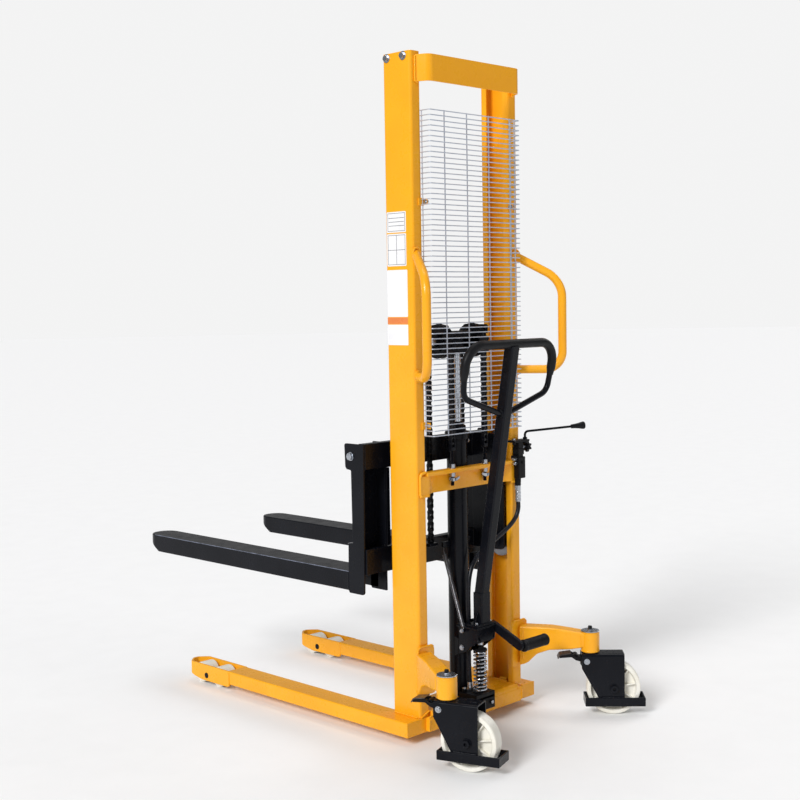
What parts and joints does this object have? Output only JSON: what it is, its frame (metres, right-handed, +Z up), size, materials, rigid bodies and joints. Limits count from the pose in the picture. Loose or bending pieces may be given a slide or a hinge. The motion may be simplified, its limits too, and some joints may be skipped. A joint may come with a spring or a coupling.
{
  "type": "walkie stacker",
  "caption": "Hand-pumped walkie stacker with a chain-lifted fork carriage on a two-post mast, straddle-free legs under the forks, swivel casters, tiller and push handles",
  "frame": {"origin": "middle of the overall footprint, on the floor", "axes": "+Z up, +Y towards the fork tips, +X to the right of the operator who stands behind the mast"},
  "size_m": [0.9158, 1.7574, 2.154],
  "materials": {
    "anchor_rod_left": "bright zinc",
    "anchor_rod_right": "bright zinc",
    "base_frame": "semi-gloss yellow-orange powder coat",
    "bogie_left": "machined steel",
    "bogie_right": "machined steel",
    "brake_lever_left": "semi-gloss black paint",
    "brake_lever_right": "semi-gloss black paint",
    "carriage_frame": "semi-gloss black paint",
    "caster_fork_left": "semi-gloss black paint",
    "caster_fork_right": "semi-gloss black paint",
    "caster_wheel_left": "ivory nylon",
    "caster_wheel_right": "ivory nylon",
    "chain_front_left": "oiled dark steel chain",
    "chain_front_right": "oiled dark steel chain",
    "chain_rear_left": "oiled dark steel chain",
    "chain_rear_right": "oiled dark steel chain",
    "chain_wheel_left": "semi-gloss black paint",
    "chain_wheel_right": "semi-gloss black paint",
    "chain_wrap_left": "oiled dark steel chain",
    "chain_wrap_right": "oiled dark steel chain",
    "crosshead": "semi-gloss black paint",
    "flow_handwheel": "semi-gloss black paint",
    "foot_pedal": "matte black rubber",
    "fork_left": "semi-gloss black paint",
    "fork_right": "semi-gloss black paint",
    "leg_left": "semi-gloss yellow-orange powder coat",
    "leg_right": "semi-gloss yellow-orange powder coat",
    "lever_knob": "matte black rubber",
    "lift_cylinder": "semi-gloss black paint",
    "lift_rod": "polished chrome plate",
    "load_roller_front_left": "ivory nylon",
    "load_roller_front_right": "ivory nylon",
    "load_roller_rear_left": "ivory nylon",
    "load_roller_rear_right": "ivory nylon",
    "mast_left": "semi-gloss yellow-orange powder coat",
    "mast_right": "semi-gloss yellow-orange powder coat",
    "mast_roller_lower_left": "machined steel",
    "mast_roller_lower_right": "machined steel",
    "mast_roller_upper_left": "machined steel",
    "mast_roller_upper_right": "machined steel",
    "mid_crossmember": "semi-gloss yellow-orange powder coat",
    "outrigger_left": "semi-gloss yellow-orange powder coat",
    "outrigger_right": "semi-gloss yellow-orange powder coat",
    "plunger": "machined steel",
    "pump_block": "semi-gloss black paint",
    "pump_hose": "matte black rubber",
    "pump_spring": "bright zinc",
    "push_handle_left": "semi-gloss yellow-orange powder coat",
    "push_handle_right": "semi-gloss yellow-orange powder coat",
    "release_lever": "semi-gloss black paint",
    "release_valve": "semi-gloss black paint",
    "return_spring": "bright zinc",
    "tiller_grip": "matte black rubber",
    "tiller_rocker": "semi-gloss black paint",
    "tiller_stem": "semi-gloss black paint",
    "top_crossbeam": "semi-gloss yellow-orange powder coat",
    "wire_guard": "bright zinc"
  },
  "bodies": {
    "chassis": {"mast_left": "mast_left", "mast_right": "mast_right", "top_crossbeam": "top_crossbeam", "mid_crossmember": "mid_crossmember", "base_frame": "base_frame", "leg_left": "leg_left", "leg_right": "leg_right", "outrigger_left": "outrigger_left", "outrigger_right": "outrigger_right", "wire_guard": "wire_guard", "push_handle_left": "push_handle_left", "push_handle_right": "push_handle_right", "lift_cylinder": "lift_cylinder", "pump_block": "pump_block", "pump_spring": "pump_spring", "pump_hose": "pump_hose", "release_valve": "release_valve", "anchor_rod_left": "anchor_rod_left", "anchor_rod_right": "anchor_rod_right", "chain_rear_left": "chain_rear_left", "chain_rear_right": "chain_rear_right", "return_spring": "return_spring"},
    "ram": {"lift_rod": "lift_rod", "crosshead": "crosshead", "chain_wrap_left": "chain_wrap_left", "chain_wrap_right": "chain_wrap_right"},
    "carriage": {"carriage_frame": "carriage_frame", "fork_left": "fork_left", "fork_right": "fork_right", "chain_front_left": "chain_front_left", "chain_front_right": "chain_front_right"},
    "tiller": {"tiller_rocker": "tiller_rocker", "tiller_stem": "tiller_stem", "tiller_grip": "tiller_grip", "foot_pedal": "foot_pedal"},
    "plunger_body": {"plunger": "plunger"},
    "release": {"release_lever": "release_lever", "lever_knob": "lever_knob"},
    "handwheel": {"flow_handwheel": "flow_handwheel"},
    "chain_wheel_left_body": {"chain_wheel_left": "chain_wheel_left"},
    "mast_roller_lower_left_body": {"mast_roller_lower_left": "mast_roller_lower_left"},
    "mast_roller_upper_left_body": {"mast_roller_upper_left": "mast_roller_upper_left"},
    "chain_wheel_right_body": {"chain_wheel_right": "chain_wheel_right"},
    "mast_roller_lower_right_body": {"mast_roller_lower_right": "mast_roller_lower_right"},
    "mast_roller_upper_right_body": {"mast_roller_upper_right": "mast_roller_upper_right"},
    "caster_left": {"caster_fork_left": "caster_fork_left"},
    "caster_wheel_left_body": {"caster_wheel_left": "caster_wheel_left"},
    "brake_left": {"brake_lever_left": "brake_lever_left"},
    "bogie_left_body": {"bogie_left": "bogie_left"},
    "load_roller_rear_left_body": {"load_roller_rear_left": "load_roller_rear_left"},
    "load_roller_front_left_body": {"load_roller_front_left": "load_roller_front_left"},
    "caster_right": {"caster_fork_right": "caster_fork_right"},
    "caster_wheel_right_body": {"caster_wheel_right": "caster_wheel_right"},
    "brake_right": {"brake_lever_right": "brake_lever_right"},
    "bogie_right_body": {"bogie_right": "bogie_right"},
    "load_roller_rear_right_body": {"load_roller_rear_right": "load_roller_rear_right"},
    "load_roller_front_right_body": {"load_roller_front_right": "load_roller_front_right"}
  },
  "joints": [
    {"name": "ram_lift", "type": "slide", "parent": "chassis", "child": "ram", "axis": [0, 0, 1], "range_m": [-0.22, 0.536], "deforming": ["chain_rear_left", "chain_rear_right"]},
    {"name": "fork_lift", "type": "slide", "parent": "ram", "child": "carriage", "axis": [0, 0, 1], "range_m": [-0.22, 0.536], "deforming": ["chain_front_left", "chain_front_right"]},
    {"name": "chain_wheel_left_spin", "type": "hinge", "parent": "ram", "child": "chain_wheel_left_body", "pos_m": [-0.12718, -0.4273, 1.26], "axis": [1, 0, 0], "range_deg": [-253, 615]},
    {"name": "mast_roller_lower_left_spin", "type": "hinge", "parent": "carriage", "child": "mast_roller_lower_left_body", "pos_m": [-0.27718, -0.4238, 0.573], "axis": [1, 0, 0], "range_deg": [-486, 1183]},
    {"name": "mast_roller_upper_left_spin", "type": "hinge", "parent": "carriage", "child": "mast_roller_upper_left_body", "pos_m": [-0.27718, -0.4238, 0.9], "axis": [1, 0, 0], "range_deg": [-1183, 486]},
    {"name": "chain_wheel_right_spin", "type": "hinge", "parent": "ram", "child": "chain_wheel_right_body", "pos_m": [0.03082, -0.4273, 1.26], "axis": [1, 0, 0], "range_deg": [-253, 615]},
    {"name": "mast_roller_lower_right_spin", "type": "hinge", "parent": "carriage", "child": "mast_roller_lower_right_body", "pos_m": [0.18082, -0.4238, 0.573], "axis": [1, 0, 0], "range_deg": [-486, 1183]},
    {"name": "mast_roller_upper_right_spin", "type": "hinge", "parent": "carriage", "child": "mast_roller_upper_right_body", "pos_m": [0.18082, -0.4238, 0.9], "axis": [1, 0, 0], "range_deg": [-1183, 486]},
    {"name": "tiller_swing", "type": "hinge", "parent": "chassis", "child": "tiller", "pos_m": [-0.04818, -0.4783, 0.263], "axis": [1, 0, 0], "range_deg": [0, 40], "stiffness_Nm_per_rad": 25, "springref_deg": -34.38, "deforming": ["return_spring"]},
    {"name": "plunger_stroke", "type": "slide", "parent": "chassis", "child": "plunger_body", "axis": [0, 0, 1], "range_m": [-0.029, 0], "deforming": ["pump_spring"]},
    {"name": "release_turn", "type": "hinge", "parent": "chassis", "child": "release", "pos_m": [0.20332, -0.5073, 0.948], "axis": [0, 0, 1], "range_deg": [-25, 0], "stiffness_Nm_per_rad": 0.8, "springref_deg": 8.59},
    {"name": "handwheel_turn", "type": "hinge", "parent": "chassis", "child": "handwheel", "pos_m": [0.22082, -0.4988, 0.896], "axis": [1, 0, 0], "range_deg": [-180, 180]},
    {"name": "caster_left_swivel", "type": "hinge", "parent": "chassis", "child": "caster_left", "pos_m": [-0.40318, -0.6953, 0.243], "axis": [0, 0, 1], "continuous": true},
    {"name": "caster_wheel_left_spin", "type": "hinge", "parent": "caster_left", "child": "caster_wheel_left_body", "pos_m": [-0.37804, -0.7667, 0.09], "axis": [0.9432, 0.3322, 0], "continuous": true},
    {"name": "brake_left_press", "type": "hinge", "parent": "caster_left", "child": "brake_left", "pos_m": [-0.40783, -0.6821, 0.182], "axis": [0.9432, 0.3322, 0], "range_deg": [-10, 0]},
    {"name": "bogie_left_rock", "type": "hinge", "parent": "chassis", "child": "bogie_left_body", "pos_m": [-0.31968, 0.5407, 0.037], "axis": [1, 0, 0], "range_deg": [-5, 5]},
    {"name": "load_roller_rear_left_spin", "type": "hinge", "parent": "bogie_left_body", "child": "load_roller_rear_left_body", "pos_m": [-0.31968, 0.4897, 0.037], "axis": [1, 0, 0], "continuous": true},
    {"name": "load_roller_front_left_spin", "type": "hinge", "parent": "bogie_left_body", "child": "load_roller_front_left_body", "pos_m": [-0.31968, 0.5917, 0.037], "axis": [1, 0, 0], "continuous": true},
    {"name": "caster_right_swivel", "type": "hinge", "parent": "chassis", "child": "caster_right", "pos_m": [0.30682, -0.6953, 0.243], "axis": [0, 0, 1], "continuous": true},
    {"name": "caster_wheel_right_spin", "type": "hinge", "parent": "caster_right", "child": "caster_wheel_right_body", "pos_m": [0.35757, -0.75147, 0.09], "axis": [0.742, 0.6704, 0], "continuous": true},
    {"name": "brake_right_press", "type": "hinge", "parent": "caster_right", "child": "brake_right", "pos_m": [0.29743, -0.68491, 0.182], "axis": [0.742, 0.6704, 0], "range_deg": [-10, 0]},
    {"name": "bogie_right_rock", "type": "hinge", "parent": "chassis", "child": "bogie_right_body", "pos_m": [0.22332, 0.5407, 0.037], "axis": [1, 0, 0], "range_deg": [-5, 5]},
    {"name": "load_roller_rear_right_spin", "type": "hinge", "parent": "bogie_right_body", "child": "load_roller_rear_right_body", "pos_m": [0.22332, 0.4897, 0.037], "axis": [1, 0, 0], "continuous": true},
    {"name": "load_roller_front_right_spin", "type": "hinge", "parent": "bogie_right_body", "child": "load_roller_front_right_body", "pos_m": [0.22332, 0.5917, 0.037], "axis": [1, 0, 0], "continuous": true}
  ],
  "couplings": [
    {"joint": "fork_lift", "follows": "ram_lift", "ratio": 1},
    {"joint": "chain_wheel_left_spin", "follows": "ram_lift", "rad_per_m": 20},
    {"joint": "mast_roller_lower_left_spin", "follows": "ram_lift", "rad_per_m": 38.462},
    {"joint": "mast_roller_upper_left_spin", "follows": "ram_lift", "rad_per_m": -38.462},
    {"joint": "chain_wheel_right_spin", "follows": "ram_lift", "rad_per_m": 20},
    {"joint": "mast_roller_lower_right_spin", "follows": "ram_lift", "rad_per_m": 38.462},
    {"joint": "mast_roller_upper_right_spin", "follows": "ram_lift", "rad_per_m": -38.462},
    {"joint": "plunger_stroke", "follows": "tiller_swing", "m_per_rad": -0.041}
  ]
}
